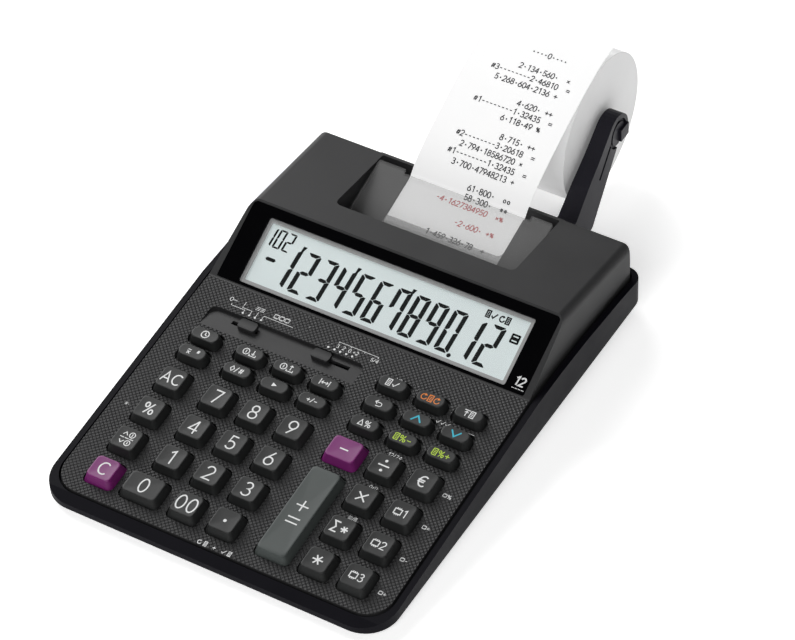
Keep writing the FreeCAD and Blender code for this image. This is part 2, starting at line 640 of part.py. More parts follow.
def make_battery_door():
    z0, z1 = UNDERSIDE + 0.05, UNDERSIDE + DOOR_T
    plate = box(-BAY_X - 2.1, BAY_X + 2.1, DOOR_Y, BAY_BACK + 3.1, z0, z1)
    barrel = rod_x(-BAY_X - 2.1, BAY_X + 2.1, DOOR_Y, DOOR_Z, 0.7)
    pins = rod_x(-BAY_X - 3.4, BAY_X + 3.4, DOOR_Y, DOOR_Z, 0.7)
    ridge_rows = (BAY_BACK - 4, BAY_BACK - 2, BAY_BACK)
    ridges = [box(-9.0, 9.0, y, y + 0.8, z0 - 0.3, z0 + 0.2) for y in ridge_rows]
    add("battery_door", fuse([plate, barrel, pins] + ridges).removeSplitter())


def sole(y):
    """Height of the desk below the case's frame at y."""
    return -math.tan(math.radians(CASE_TILT)) * y


def make_feet():
    feet = []
    for x in (-66.0, 66.0):
        front = rod_z(x, 14.0, sole(14.0) - 2.0, UNDERSIDE, 5.0)
        rear = Part.makeCone(5.2, 6.6, UNDERSIDE + 12.0, V(x, 190.0, -12.0), V(0, 0, 1))
        rear = rear.common(box(-90, 90, 100, 300, -20, UNDERSIDE))
        feet += [front, rear]
    desk = prism_x([(-10, sole(-10)), (320, sole(320)), (320, -40), (-10, -40)], -90, 90)
    add("rubber_feet", *[foot.cut(desk) for foot in feet])


def make_screws():
    screws = []
    for x, y in SCREWS:
        head = rod_z(x, y, UNDERSIDE + 0.05, UNDERSIDE + 1.25, 2.6)
        shank = rod_z(x, y, UNDERSIDE + 1.0, (6.2 if y < 60 else 13.0) if y < 150 else 11.0, 1.1)
        cross = box(x - 1.4, x + 1.4, y - 0.3, y + 0.3, UNDERSIDE, UNDERSIDE + 0.6)
        cross = cross.fuse(box(x - 0.3, x + 0.3, y - 1.4, y + 1.4, UNDERSIDE, UNDERSIDE + 0.6))
        screws.append(head.fuse(shank).cut(cross))
    add("case_screws", *screws)


# ---------------------------------------------------------------- build and write
def stand_on_desk():
    """Tilt everything onto its feet and centre the footprint on the origin."""
    for name, shape in PARTS.items():
        tilted = shape.copy()
        tilted.rotate(V(0, 0, 0), V(1, 0, 0), CASE_TILT)
        PARTS[name] = tilted
    whole = FreeCAD.BoundBox()
    for shape in PARTS.values():
        whole.add(shape.optimalBoundingBox(False, False))
    shift = V(-whole.Center.x, -whole.Center.y, -whole.ZMin)
    for shape in PARTS.values():
        shape.translate(shift)
    return shift, whole


def main():
    make_keys()
    make_switches()
    make_lower_case()
    make_upper_case()
    make_display()
    make_printer_cover()
    make_paper()
    make_feed_roller()
    make_printer_unit()
    make_roll_holder()
    make_electronics()
    make_battery_door()
    make_feet()
    make_screws()
    shift, whole = stand_on_desk()
    for name, shape in PARTS.items():
        shape.exportStep("parts/%s.step" % name)
    print("shift", shift, "size", whole.XLength, whole.YLength, whole.ZLength, "nodes", len(PARTS))
    for name, shape in PARTS.items():
        if not shape.isValid() or shape.Volume <= 0:
            print("NOT VALID", name)


main()
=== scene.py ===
"""Looks of a printing desk calculator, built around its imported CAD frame.

Drawing is done in millimetres on flat or gently dished working planes (the case, the sloping key
deck, the display slope, each key's top, the paper), and a placement turns it into metres in the
row frame.  Every raised mark is a thin closed solid, so the meshes stand on their own.
"""
import bisect
import math

import bpy
from mathutils import Matrix, Vector


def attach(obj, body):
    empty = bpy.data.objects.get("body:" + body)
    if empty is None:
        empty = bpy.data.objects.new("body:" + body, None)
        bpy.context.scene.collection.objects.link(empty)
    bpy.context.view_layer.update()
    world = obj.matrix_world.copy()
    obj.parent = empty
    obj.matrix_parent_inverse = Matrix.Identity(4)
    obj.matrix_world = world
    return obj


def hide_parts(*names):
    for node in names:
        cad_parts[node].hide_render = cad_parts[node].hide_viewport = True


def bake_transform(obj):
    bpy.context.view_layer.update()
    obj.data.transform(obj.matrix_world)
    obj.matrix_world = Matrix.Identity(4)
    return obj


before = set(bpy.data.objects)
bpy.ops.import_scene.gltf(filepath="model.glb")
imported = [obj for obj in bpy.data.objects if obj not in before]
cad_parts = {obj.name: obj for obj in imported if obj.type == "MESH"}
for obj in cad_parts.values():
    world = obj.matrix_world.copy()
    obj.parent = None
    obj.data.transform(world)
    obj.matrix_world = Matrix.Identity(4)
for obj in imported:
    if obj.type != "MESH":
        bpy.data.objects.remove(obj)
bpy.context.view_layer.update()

# ---------------------------------------------------------------- working planes, drawn in mm
MM = 0.001
CENTRE_SHIFT = -0.15871               # the case's front edge lies this far ahead of the origin, m
CASE_TILT, DECK_ANGLE = 1.6, 6.36     # degrees
DECK_START = 6.63                     # deck height carried forward to y = 0
PANEL_LOW, PANEL_HIGH = 129.3, (164.1, 38.8)


def turn_x(degrees):
    return Matrix.Rotation(math.radians(degrees), 4, "X")


def deck_z(y):
    return DECK_START + math.tan(math.radians(DECK_ANGLE)) * y


PANEL_ANGLE = math.degrees(math.atan2(PANEL_HIGH[1] - deck_z(PANEL_LOW), PANEL_HIGH[0] - PANEL_LOW))
CASE = Matrix.Translation((0, CENTRE_SHIFT, 0)) @ turn_x(CASE_TILT) @ Matrix.Scale(MM, 4)
DECK = CASE @ Matrix.Translation((0, 0, DECK_START)) @ turn_x(DECK_ANGLE)
PANEL = CASE @ Matrix.Translation((0, PANEL_LOW, deck_z(PANEL_LOW))) @ turn_x(PANEL_ANGLE)


def on(matrix, x0=0.0, y0=0.0, level=0.0):
    """Placement of drawing points x, y at height h on a flat working plane."""
    return lambda x, y, h: matrix @ Vector((x0 + x, y0 + y, level + h))


# ---------------------------------------------------------------- mesh building
class Solid:
    """Gathers closed pieces of geometry and turns them into one object."""

    def __init__(self):
        self.verts, self.faces = [], []

    def skin(self, rings, closed=False):
        """Walls over rings of equal length; returns the number of the first vertex."""
        base, count = len(self.verts), len(rings[0])
        for outline in rings:
            self.verts += [tuple(p) for p in outline]
        spans = len(rings) if closed else len(rings) - 1
        for i in range(spans):
            a, b = base + i * count, base + (i + 1) % len(rings) * count
            for j in range(count):
                k = (j + 1) % count
                self.faces.append((a + j, a + k, b + k, b + j))
        return base

    def loft(self, rings, closed=False):
        """Walls over rings of equal length; an open stack gets end faces."""
        base, count = self.skin(rings, closed), len(rings[0])
        if not closed:
            last = base + (len(rings) - 1) * count
            self.faces.append(tuple(range(base + count - 1, base - 1, -1)))
            self.faces.append(tuple(range(last, last + count)))

    def prism(self, outline, low, high, place):
        """Flat shape with straight walls; the outline runs anticlockwise."""
        self.loft([[place(x, y, h) for x, y in outline] for h in (low, high)])

    def ribbon(self, points, width, low, high, place, closed=False):
        """Line of even width with mitred corners, as a closed solid."""
        count, sharpest = len(points), 0.45
        left, right = [], []
        for i, (x, y) in enumerate(points):
            before = points[i - 1] if i or closed else None
            after = points[(i + 1) % count] if i < count - 1 or closed else None
            directions = []
            for a, b in ((before, (x, y)), ((x, y), after)):
                if a and b:
                    d = Vector((b[0] - a[0], b[1] - a[1]))
                    directions.append(d.normalized())
            mean = sum(directions, Vector((0, 0))).normalized()
            stretch = 1 / max(mean.dot(directions[0]), sharpest)
            nx, ny = -mean.y * width / 2 * stretch, mean.x * width / 2 * stretch
            left.append((x + nx, y + ny))
            right.append((x - nx, y - ny))
        rings = [
            [place(*right[i], low), place(*right[i], high), place(*left[i], high), place(*left[i], low)]
            for i in range(count)
        ]
        self.loft(rings, closed)

    def make(self, name, material, body, slot=None, replaces=(), sharp=35.0):
        mesh = bpy.data.meshes.new(name)
        mesh.from_pydata(self.verts, [], self.faces)
        mesh.validate()
        mesh.shade_smooth()
        mesh.set_sharp_from_angle(angle=math.radians(sharp))
        mesh.materials.append(material)
        piece = bpy.data.objects.new(name, mesh)
        bpy.context.scene.collection.objects.link(piece)
        if body:
            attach(piece, body)
        if replaces:
            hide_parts(*replaces)
        return piece


def arc(cx, cy, rx, ry, start, end, steps=12):
    """Points on an ellipse; a full turn leaves out the repeated last point."""
    full = abs(end - start) >= 360
    sweep = [math.radians(start + (end - start) * i / steps) for i in range(steps + (not full))]
    return [(cx + rx * math.cos(a), cy + ry * math.sin(a)) for a in sweep]


def rounded(half_x, half_y, radius, steps=6):
    """Rectangle with rounded corners about the origin, anticlockwise."""
    points = []
    for sx, sy, start in ((1, 1, 0), (-1, 1, 90), (-1, -1, 180), (1, -1, 270)):
        points += arc(sx * (half_x - radius), sy * (half_y - radius), radius, radius,
                      start, start + 90, steps)
    return points


# ---------------------------------------------------------------- marks drawn with strokes
def dot(x, y):
    radius = 0.085
    return ("fill", arc(x, y, radius, radius, 0, 360))


def line(*points):
    return ("open", list(points))


def loop(points):
    return ("loop", points)


def ring(cx, cy, rx, ry, steps=22):
    return loop(arc(cx, cy, rx, ry, 0, 360, steps))


def arrow(x, y0, y1, wing=0.2):
    """Upright arrow from y0 to its tip at y1."""
    back = y1 - math.copysign(wing, y1 - y0)
    return [line((x, y0), (x, y1)), line((x - wing, back), (x, y1), (x + wing, back))]


def page():
    """Small sheet with lines on it."""
    wide, margin = 0.56, 0.14
    lines = [line((margin, y), (wide - margin, y)) for y in (0.26, 0.5, 0.74)]
    return [loop([(0, 0), (wide, 0), (wide, 1), (0, 1)])] + lines


def chip():
    """Memory block with short legs."""
    wide, low, high, leg = 0.8, 0.18, 0.82, 0.16
    legs = [line((wide * f, y), (wide * f, y + leg)) for f in (0.25, 0.5, 0.75) for y in (0.0, 1.0 - leg)]
    return [loop([(0, low), (wide, low), (wide, high), (0, high)])] + legs


# character or pictogram name -> (advance, strokes), in a box one unit high
MARKS = {
    "0": (0.58, [ring(0.29, 0.5, 0.26, 0.48)]),
    "1": (0.46, [line((0.06, 0.79), (0.31, 0.97), (0.31, 0.0))]),
    "2": (0.58, [line(*arc(0.28, 0.71, 0.25, 0.26, 168, -32, 11), (0.04, 0.03), (0.57, 0.03))]),
    "3": (0.57, [line(*arc(0.26, 0.745, 0.22, 0.225, 155, -88, 10),
                      *arc(0.27, 0.275, 0.26, 0.25, 86, -155, 12))]),
    "4": (0.60, [line((0.43, 0.0), (0.43, 0.97)), line((0.43, 0.97), (0.03, 0.3), (0.6, 0.3))]),
    "5": (0.57, [line((0.52, 0.96), (0.14, 0.96), (0.09, 0.5), *arc(0.27, 0.31, 0.26, 0.29, 125, -150, 12))]),
    "6": (0.58, [ring(0.29, 0.3, 0.26, 0.28), line((0.08, 0.45), (0.45, 0.99))]),
    "7": (0.57, [line((0.03, 0.96), (0.55, 0.96), (0.2, 0.0))]),
    "8": (0.58, [ring(0.29, 0.745, 0.21, 0.225), ring(0.29, 0.27, 0.26, 0.25)]),
    "9": (0.58, [ring(0.29, 0.7, 0.26, 0.28), line((0.5, 0.55), (0.14, 0.01))]),
    "C": (0.74, [line(*arc(0.42, 0.5, 0.38, 0.48, 48, 312, 18))]),
    "A": (0.70, [line((0.0, 0.0), (0.35, 0.97), (0.7, 0.0)), line((0.13, 0.33), (0.57, 0.33))]),
    "+": (0.62, [line((0.0, 0.45), (0.62, 0.45)), line((0.31, 0.14), (0.31, 0.76))]),
    "-": (0.60, [line((0.04, 0.45), (0.56, 0.45))]),
    "=": (0.62, [line((0.0, 0.32), (0.62, 0.32)), line((0.0, 0.6), (0.62, 0.6))]),
    "x": (0.60, [line((0.05, 0.2), (0.55, 0.7)), line((0.05, 0.7), (0.55, 0.2))]),
    "division": (0.62, [line((0.0, 0.45), (0.62, 0.45)), dot(0.31, 0.76), dot(0.31, 0.14)]),
    "*": (0.62, [line((0.31 - 0.3 * math.cos(a), 0.48 - 0.3 * math.sin(a)),
                      (0.31 + 0.3 * math.cos(a), 0.48 + 0.3 * math.sin(a))) for a in (0.0, 1.047, 2.094)]),
    "%": (0.84, [ring(0.17, 0.74, 0.14, 0.2), ring(0.67, 0.23, 0.14, 0.2), line((0.66, 0.97), (0.18, 0.0))]),
    ".": (0.34, [dot(0.17, 0.46)]),
    "/": (0.40, [line((0.0, 0.0), (0.38, 0.97))]),
    "#": (0.66, [line((0.14, 0.08), (0.26, 0.88)), line((0.4, 0.08), (0.52, 0.88)),
                 line((0.02, 0.34), (0.6, 0.34)), line((0.06, 0.64), (0.64, 0.64))]),
    "diamond": (0.6, [loop([(0.3, 0.06), (0.58, 0.48), (0.3, 0.9), (0.02, 0.48)])]),
    "o": (0.5, [ring(0.25, 0.4, 0.2, 0.24, 14)]),
    "delta": (0.74, [loop([(0.04, 0.06), (0.70, 0.06), (0.37, 0.86)])]),
    "currency": (0.72, [line(*arc(0.44, 0.5, 0.34, 0.46, 52, 308, 16)), line((0.0, 0.58), (0.56, 0.58)),
                        line((0.0, 0.42), (0.52, 0.42))]),
    "right": (0.8, [("fill", [(0.08, 0.16), (0.8, 0.5), (0.08, 0.84)])]),
    "up": (0.9, [line((0.08, 0.22), (0.45, 0.72), (0.82, 0.22))]),
    "down": (0.9, [line((0.08, 0.78), (0.45, 0.28), (0.82, 0.78))]),
    "sum": (0.6, [line((0.54, 0.97), (0.06, 0.97), (0.34, 0.5), (0.06, 0.03), (0.56, 0.03))]),
    "clock": (1.0, [ring(0.5, 0.5, 0.46, 0.48), line((0.5, 0.8), (0.5, 0.48), (0.74, 0.34))]),
    "mean": (0.6, [line((0.06, 0.1), (0.54, 0.6)), line((0.06, 0.6), (0.54, 0.1)),
                   line((0.04, 0.84), (0.56, 0.84))]),
    "in": (0.9, [line((0, 0.3), (0, 0.02), (0.9, 0.02), (0.9, 0.3))] + arrow(0.45, 1.0, 0.24)),
    "out": (0.9, [line((0, 0.3), (0, 0.02), (0.9, 0.02), (0.9, 0.3))] + arrow(0.45, 0.24, 1.0)),
    "coin": (0.9, [ring(0.45, 0.5, 0.42, 0.46), line((0.45, 0.26), (0.45, 0.74))]),
    "span": (1.3, [line((0.0, 0.05), (0.0, 0.95)), line((1.3, 0.05), (1.3, 0.95)),
                   line((0.2, 0.5), (1.1, 0.5)), line((0.42, 0.72), (0.2, 0.5), (0.42, 0.28)),
                   line((0.88, 0.72), (1.1, 0.5), (0.88, 0.28))]),
    "page": (0.62, page()),
    "chip": (0.86, chip()),
    "again": (0.9, [line(*arc(0.44, 0.46, 0.38, 0.42, 60, 350, 16)),
                    ("fill", [(0.4, 0.62), (0.78, 0.78), (0.46, 1.04)])]),
    "undo": (1.1, [line((0.12, 0.62), (0.7, 0.62), *arc(0.72, 0.34, 0.28, 0.28, 80, -90, 8), (0.3, 0.06)),
                   line((0.36, 0.9), (0.08, 0.62), (0.36, 0.34))]),
    "advance": (0.8, [line((0.0, 0.97), (0.8, 0.97))] + arrow(0.4, 0.0, 0.78, 0.24)),
    "check": (0.9, [line((0.06, 0.42), (0.34, 0.1), (0.86, 0.88))]),
    "on": (0.24, [line((0.12, 0.06), (0.12, 0.94))]),
    "off": (0.7, [ring(0.35, 0.5, 0.3, 0.42, 16)]),
    "list": (0.9, [line((0.0, y), (0.9, y)) for y in (0.14, 0.5, 0.86)]),
    "bar": (0.8, [line((0.0, 0.5), (0.8, 0.5))]),
    " ": (0.3, []),
}


def write(solid, words, x, y, size, stroke, place, slant=0.0, gap=0.16, low=-0.1, high=0.02):
    """Row of marks centred on x, y.  words is a string of characters or a list of mark names."""
    total = sum(MARKS[w][0] for w in words) * size + gap * size * (len(words) - 1)
    left = x - total / 2
    for word in words:
        advance, strokes = MARKS[word]
        for kind, points in strokes:
            drawn = [(left + (px + slant * (py - 0.5)) * size, y + (py - 0.5) * size) for px, py in points]
            if kind == "fill":
                solid.prism(drawn, low, high, place)
            else:
                solid.ribbon(drawn, stroke, low, high, place, kind == "loop")
        left += (advance + gap) * size


# ---------------------------------------------------------------- materials
def new_material(name):
    made = bpy.data.materials.new(name)
    made.use_nodes = True
    tree = made.node_tree
    shader = tree.nodes["Principled BSDF"]
    return made, tree, shader


def add_node(tree, kind, settings=None, **inputs):
    node = tree.nodes.new(kind)
    for key, value in (settings or {}).items():
        setattr(node, key, value)
    for key, value in inputs.items():
        socket = node.inputs[int(key[1:])] if key[0] == "i" and key[1:].isdigit() else node.inputs[key]
        if isinstance(value, bpy.types.NodeSocket):
            tree.links.new(value, socket)
        else:
            socket.default_value = value
    return node


def maths(tree, operation, a, b=0.0):
    return add_node(tree, "ShaderNodeMath", {"operation": operation}, i0=a, i1=b).outputs[0]


def noise(tree, coords, scale, detail=3.0):
    cloud = add_node(tree, "ShaderNodeTexNoise", None, Vector=coords, Scale=scale, Detail=detail)
    return cloud.outputs["Fac"]


def spread(tree, value, low, high):
    """Maps a noise value to a range."""
    return add_node(tree, "ShaderNodeMapRange", None, i0=value, i1=0.3, i2=0.7, i3=low, i4=high).outputs[0]


def object_coords(tree):
    return add_node(tree, "ShaderNodeTexCoord").outputs["Object"]


def shade_colour(tree, colour, factor):
    """Colour times a varying factor."""
    mix = add_node(tree, "ShaderNodeVectorMath", {"operation": "SCALE"}, i0=colour)
    tree.links.new(factor, mix.inputs["Scale"])
    return mix.outputs[0]


BUMP_DEPTH, RELIEF_DEPTH = 0.0001, 0.00022     # m, of the fine grain and of the embossed texture


def plastic(name, colour, rough, grain=0.1, specular=0.5, vary=0.1, relief=None, painted_glow=None):
    """Moulded plastic: fine grain, slight change of shade and of gloss, an optional relief, and an optional
    glow of painted light.
    """
    made, tree, shader = new_material(name)
    coords = object_coords(tree)
    broad = noise(tree, coords, 38.0, 4.0)
    fine = noise(tree, coords, 2600.0, 2.0)
    tint = shade_colour(tree, colour, spread(tree, broad, 1 - vary, 1 + vary))
    tree.links.new(tint, shader.inputs["Base Color"])
    tree.links.new(spread(tree, broad, rough - 0.05, rough + 0.05), shader.inputs["Roughness"])
    shader.inputs["Specular IOR Level"].default_value = specular
    if painted_glow:
        shader.inputs["Emission Color"].default_value = (*painted_glow, 1)
        shader.inputs["Emission Strength"].default_value = 1.0
    bump = add_node(tree, "ShaderNodeBump", None, Strength=grain, Distance=BUMP_DEPTH, Height=fine)
    if relief:
        bump = add_node(tree, "ShaderNodeBump", None, Strength=1.0, Distance=RELIEF_DEPTH,
                        Height=relief(tree, coords), Normal=bump.outputs[0])
    tree.links.new(bump.outputs[0], shader.inputs["Normal"])
    return made


EMBOSS_PITCH = 2.1                     # repeat of the staggered emboss
EMBOSS_DEPTH = 0.03                    # surfaces deeper below the deck than this stay smooth
EMBOSS_MARGIN = 0.6                    # smooth strip left before the display


def deck_relief(tree, coords):
    """Staggered lens-shaped emboss, only on the key deck itself."""
    inverse = DECK.inverted()
    row = [inverse.row[i] for i in range(3)]

    def measure(i):
        vector = tuple(row[i][:3])
        along = add_node(tree, "ShaderNodeVectorMath", {"operation": "DOT_PRODUCT"}, i0=coords, i1=vector)
        return maths(tree, "ADD", along.outputs["Value"], row[i][3])

    x, y, height = measure(0), measure(1), measure(2)
    wave_x, wave_y = (maths(tree, "SINE", maths(tree, "MULTIPLY", along, 2 * math.pi / EMBOSS_PITCH))
                      for along in (x, y))
    weave = maths(tree, "MULTIPLY", wave_x, wave_y)
    deck_end = PANEL_LOW / math.cos(math.radians(DECK_ANGLE)) - EMBOSS_MARGIN
    on_deck = maths(tree, "GREATER_THAN", height, -EMBOSS_DEPTH)
    ahead = maths(tree, "LESS_THAN", y, deck_end)
    return maths(tree, "MULTIPLY", weave, maths(tree, "MULTIPLY", on_deck, ahead))


def paper_material(name, colour, painted_glow, layered=False):
    """White paper; the glow is painted light that brightens it."""
    made, tree, shader = new_material(name)
    shader.inputs["Emission Color"].default_value = (1, 1, 1, 1)
    shader.inputs["Emission Strength"].default_value = painted_glow
    coords = object_coords(tree)
    cloud = noise(tree, coords, 60.0, 4.0)
    fibre = noise(tree, coords, 1800.0, 4.0)
    tree.links.new(shade_colour(tree, colour, spread(tree, cloud, 0.985, 1.01)), shader.inputs["Base Color"])
    shader.inputs["Roughness"].default_value = 0.75
    shader.inputs["Specular IOR Level"].default_value = 0.2
    height = fibre
    if layered:
        centred = add_node(tree, "ShaderNodeVectorMath", {"operation": "SUBTRACT"}, i0=coords, i1=ROLL_CENTRE)
        wave = add_node(tree, "ShaderNodeTexWave", {"wave_type": "RINGS", "rings_direction": "X"},
                        Vector=centred.outputs[0], Scale=700.0, Distortion=1.5, Detail=2.0)
        height = maths(tree, "ADD", fibre, wave.outputs["Fac"])
    bump = add_node(tree, "ShaderNodeBump", None, Strength=0.25, Distance=BUMP_DEPTH, Height=height)
    tree.links.new(bump.outputs[0], shader.inputs["Normal"])
    return made


def clear_material(name, colour, alpha, rough, specular):
    """See-through plastic whose gloss varies a little; also makes the grey sheet of painted shadow over the
    paper.
    """
    made, tree, shader = new_material(name)
    cloud = noise(tree, object_coords(tree), 45.0)
    shader.inputs["Base Color"].default_value = (*colour, 1)
    tree.links.new(spread(tree, cloud, rough * 0.8, rough * 1.2), shader.inputs["Roughness"])
    shader.inputs["Alpha"].default_value = alpha
    shader.inputs["Specular IOR Level"].default_value = specular
    return made


def paint(name, colour, rough=0.5, specular=0.5):
    """Printed ink: nearly even, with the faint mottle of a pad print."""
    made, tree, shader = new_material(name)
    mottle = noise(tree, object_coords(tree), 900.0, 2.0)
    tree.links.new(shade_colour(tree, colour, spread(tree, mottle, 0.93, 1.03)), shader.inputs["Base Color"])
    shader.inputs["Roughness"].default_value = rough
    shader.inputs["Specular IOR Level"].default_value = specular
    return made


def metal(name, colour, rough):
    """Metal with a fine brushed change of shade and gloss."""
    made, tree, shader = new_material(name)
    brushed = noise(tree, object_coords(tree), 1500.0)
    shader.inputs["Metallic"].default_value = 1.0
    tree.links.new(shade_colour(tree, colour, spread(tree, brushed, 0.85, 1.1)), shader.inputs["Base Color"])
    tree.links.new(spread(tree, brushed, rough - 0.08, rough + 0.08), shader.inputs["Roughness"])
    return made


ROLL_Y, ROLL_Z, ROLL_R, CORE_R = 283.5, 29.5, 35.0, 6.0
PAPER_X, PAPER_W = 1.0, 57.0
ROLL_CENTRE = tuple(CASE @ Vector((PAPER_X, ROLL_Y, ROLL_Z)))

UPPER = plastic("upper_plastic", (0.032, 0.032, 0.033), 0.5, specular=0.3, relief=deck_relief)
LOWER = plastic("lower_plastic", (0.006, 0.0057, 0.0085), 0.45, specular=0.05, vary=0.06)
KEY = plastic("key_plastic", (0.022, 0.023, 0.023), 0.46, grain=0.06, specular=0.3)
KEY_GREY = plastic("grey_key_plastic", (0.075, 0.086, 0.083), 0.45, grain=0.06, specular=0.3)
KEY_PURPLE = plastic("purple_key_plastic", (0.20, 0.018, 0.16), 0.38, grain=0.05, specular=0.4)
KNOB = plastic("knob_plastic", (0.030, 0.030, 0.031), 0.5, specular=0.3)
ARM = plastic("holder_plastic", (0.017, 0.0162, 0.0225), 0.42, specular=0.10, vary=0.06)
WORKS = plastic("works_plastic_looks", (0.10, 0.10, 0.11), 0.6)
MAT = plastic("mat_silicone", (0.30, 0.30, 0.31), 0.8)
BOARD = plastic("board_laminate", (0.03, 0.14, 0.06), 0.35)
RUBBER = plastic("foot_rubber", (0.02, 0.02, 0.02), 0.85, grain=0.3)
LENS = plastic("lens_print", (0.0025, 0.0025, 0.003), 0.06, grain=0.0, specular=0.18, vary=0.05)
BEZEL = plastic("bezel_grey", (0.42, 0.42, 0.42), 0.4, vary=0.04)
# the display field's glow is painted light that brightens it; the field gives no light of its own
LCD = plastic("lcd_field", (0.74, 0.82, 0.82), 0.35, grain=0.02, specular=0.3, vary=0.015,
              painted_glow=(0.11, 0.12, 0.12))
PANE = clear_material("clear_pane", (0.5, 0.55, 0.55), 0.02, 0.04, 0.15)
SMOKED = clear_material("smoked_cover", (0.40, 0.40, 0.40), 0.20, 0.16, 0.4)
# grey see-through sheet on the paper's lower part under the cover: painted shadow of the case's front wall
PAINTED_SHADOW = clear_material("painted_shadow_sheet", (0.36, 0.36, 0.36), 0.34, 0.5, 0.2)
TINTED = clear_material("tinted_cover", (0.085, 0.085, 0.085), 0.86, 0.4, 0.3)
STEEL = metal("screw_metal", (0.55, 0.55, 0.56), 0.35)
# the strip's glow is painted light that makes it brighter than its lighting, also where it lies under the
# cover
PAPER = paper_material("paper_face", (0.88, 0.88, 0.88), 0.30)
# same paper as the strip, given a darker colour and less glow: painted shade on the roll
PAPER_ROLL_SHADED = paper_material("paper_layers_shaded", (0.78, 0.78, 0.78), 0.10, layered=True)
WHITE = paint("white_print", (0.86, 0.87, 0.87))
LCD_INK = paint("lcd_segments", (0.001, 0.001, 0.001), 0.8, 0.0)
ORANGE = paint("orange_print", (0.85, 0.22, 0.01))
GREEN = paint("green_print", (0.50, 0.72, 0.03))
CYAN = paint("cyan_print", (0.02, 0.50, 0.66))
INK = paint("black_ink", (0.035, 0.035, 0.04), 0.8)
RED_INK = paint("red_ink", (0.74, 0.20, 0.20), 0.8)

NODE_LOOKS = {
    "upper_case": UPPER, "lower_case": LOWER, "mode_switch_knob": KNOB, "rounding_switch_knob": KNOB,
    "lcd_module": LCD, "feed_roller": RUBBER, "printer_unit": WORKS, "roll_holder": ARM, "key_mat": MAT,
    "circuit_board": BOARD, "battery_door": LOWER, "rubber_feet": RUBBER, "case_screws": STEEL,
}
for node_name, look in NODE_LOOKS.items():
    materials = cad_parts[node_name].data.materials
    materials.clear()
    materials.append(look)

# ---------------------------------------------------------------- keys
SKIRT, SMALL_SKIRT = 1.35, 0.9         # spread of a key from its top to its foot
MAIN_HEIGHT, SMALL_HEIGHT = 3.7, 3.5
DISH, SMALL_DISH = 0.2, 0.12           # hollow of a key's top
RIM, RIM_DROP = 0.42, 0.6              # width and depth of the softened edge of the top
CORNER, CORNER_LIMIT = 1.75, 0.98      # corner radius, and its largest share of the half depth
CORNER_SPREAD = 0.6                    # growth of the corner radius, as a share of the key's spread
SKIRT_LOW = -0.9                       # levels from here on are measured from the deck
NECK_LOW, NECK_HIGH, NECK_INSET = -1.7, -0.92, 0.2
FLANGE_LOW, FLANGE_HIGH, FLANGE_X, FLANGE_Y = -2.05, -1.72, 1.0, 0.6
DIGIT = 7.1                            # height of a digit on a key
# key -> list of (marks, size, x, y, paint)
LEGENDS = {
    **{digits: [(digits, DIGIT, 0, 0, WHITE)] for digits in (*"0123456789", "00")},
    "point": [(".", DIGIT * 1.25, 0, 0.2, WHITE)],
    "clear_entry": [("C", 6.2, 0, 0.1, WHITE)],
    "clear_all": [("AC", 5.6, 0, 0.1, WHITE)],
    "percent": [("%", 6.0, 0, 0, WHITE)],
    "markup": [(["up", "coin"], 2.9, 0, 2.2, WHITE), (["bar", "bar", "bar"], 2.4, 0, 0, WHITE),
               (["down", "coin"], 2.9, 0, -2.2, WHITE)],
    "minus": [("-", 7.6, 0, 0.3, WHITE)],
    "plus_equals": [("+", 9.0, 0, 3.2, WHITE), ("=", 9.0, 0, -4.8, WHITE)],
    "total": [("*", 8.0, 0, 0.1, WHITE)],
    "grand_total": [(["sum", "*"], 5.4, 0, 0, WHITE)],
    "multiply": [("x", 8.4, 0, 0.3, WHITE)],
    "divide": [(["division"], 8.2, 0, 0.3, WHITE)],
    **{"memory_" + digit: [(["chip", digit], 3.9, 0, 0, WHITE)] for digit in "123"},
    "currency": [(["currency"], 5.6, 0, 0, WHITE)],
    "average": [(["mean"], 3.0, -1.5, -0.3, WHITE), (["#"], 2.0, 2.6, 0.9, WHITE)],
    "subtotal": [(["diamond", "/", "#"], 3.2, 0, 0, WHITE)],
    "backspace": [(["right"], 3.0, 0, 0, WHITE)],
    "sign": [(["+", "/", "-"], 2.6, 0, 0, WHITE)],
    "clock": [(["clock"], 3.7, 0, 0, WHITE)],
    "cost": [(["coin", "in"], 3.3, 0, 0, WHITE)],
    "sell": [(["coin", "out"], 3.3, 0, 0, WHITE)],
    "margin": [(["span"], 3.3, 0, 0, WHITE)],
    "delta_percent": [(["delta", "%"], 3.3, 0, 0, WHITE)],
    "tax_minus": [(["page", "%", "-"], 3.3, 0, 0, GREEN)],
    "tax_plus": [(["page", "%", "+"], 3.3, 0, 0, GREEN)],
    "correct": [(["undo"], 3.5, 0, 0, WHITE)],
    "check_back": [(["up"], 6.0, 0, 0.2, CYAN)],
    "check_on": [(["down"], 6.0, 0, -0.2, CYAN)],
    "print": [(["page", "check"], 3.3, 0, 0, WHITE)],
    "reprint": [(["again", "page", "again"], 3.3, 0, 0, ORANGE)],
    "feed": [(["advance", "page"], 3.3, 0, 0, WHITE)],
}


def measure_key(node):
    """Centre, top size and top height of a CAD key, read from its own mesh on the deck plane."""
    to_deck = DECK.inverted()
    points = [to_deck @ v.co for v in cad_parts[node].data.vertices]
    top, slack = max(p.z for p in points), 0.02
    crown = [p for p in points if p.z > top - slack]
    low_x, high_x = min(p.x for p in crown), max(p.x for p in crown)
    low_y, high_y = min(p.y for p in crown), max(p.y for p in crown)
    return (low_x + high_x) / 2, (low_y + high_y) / 2, (high_x - low_x) / 2, (high_y - low_y) / 2, top


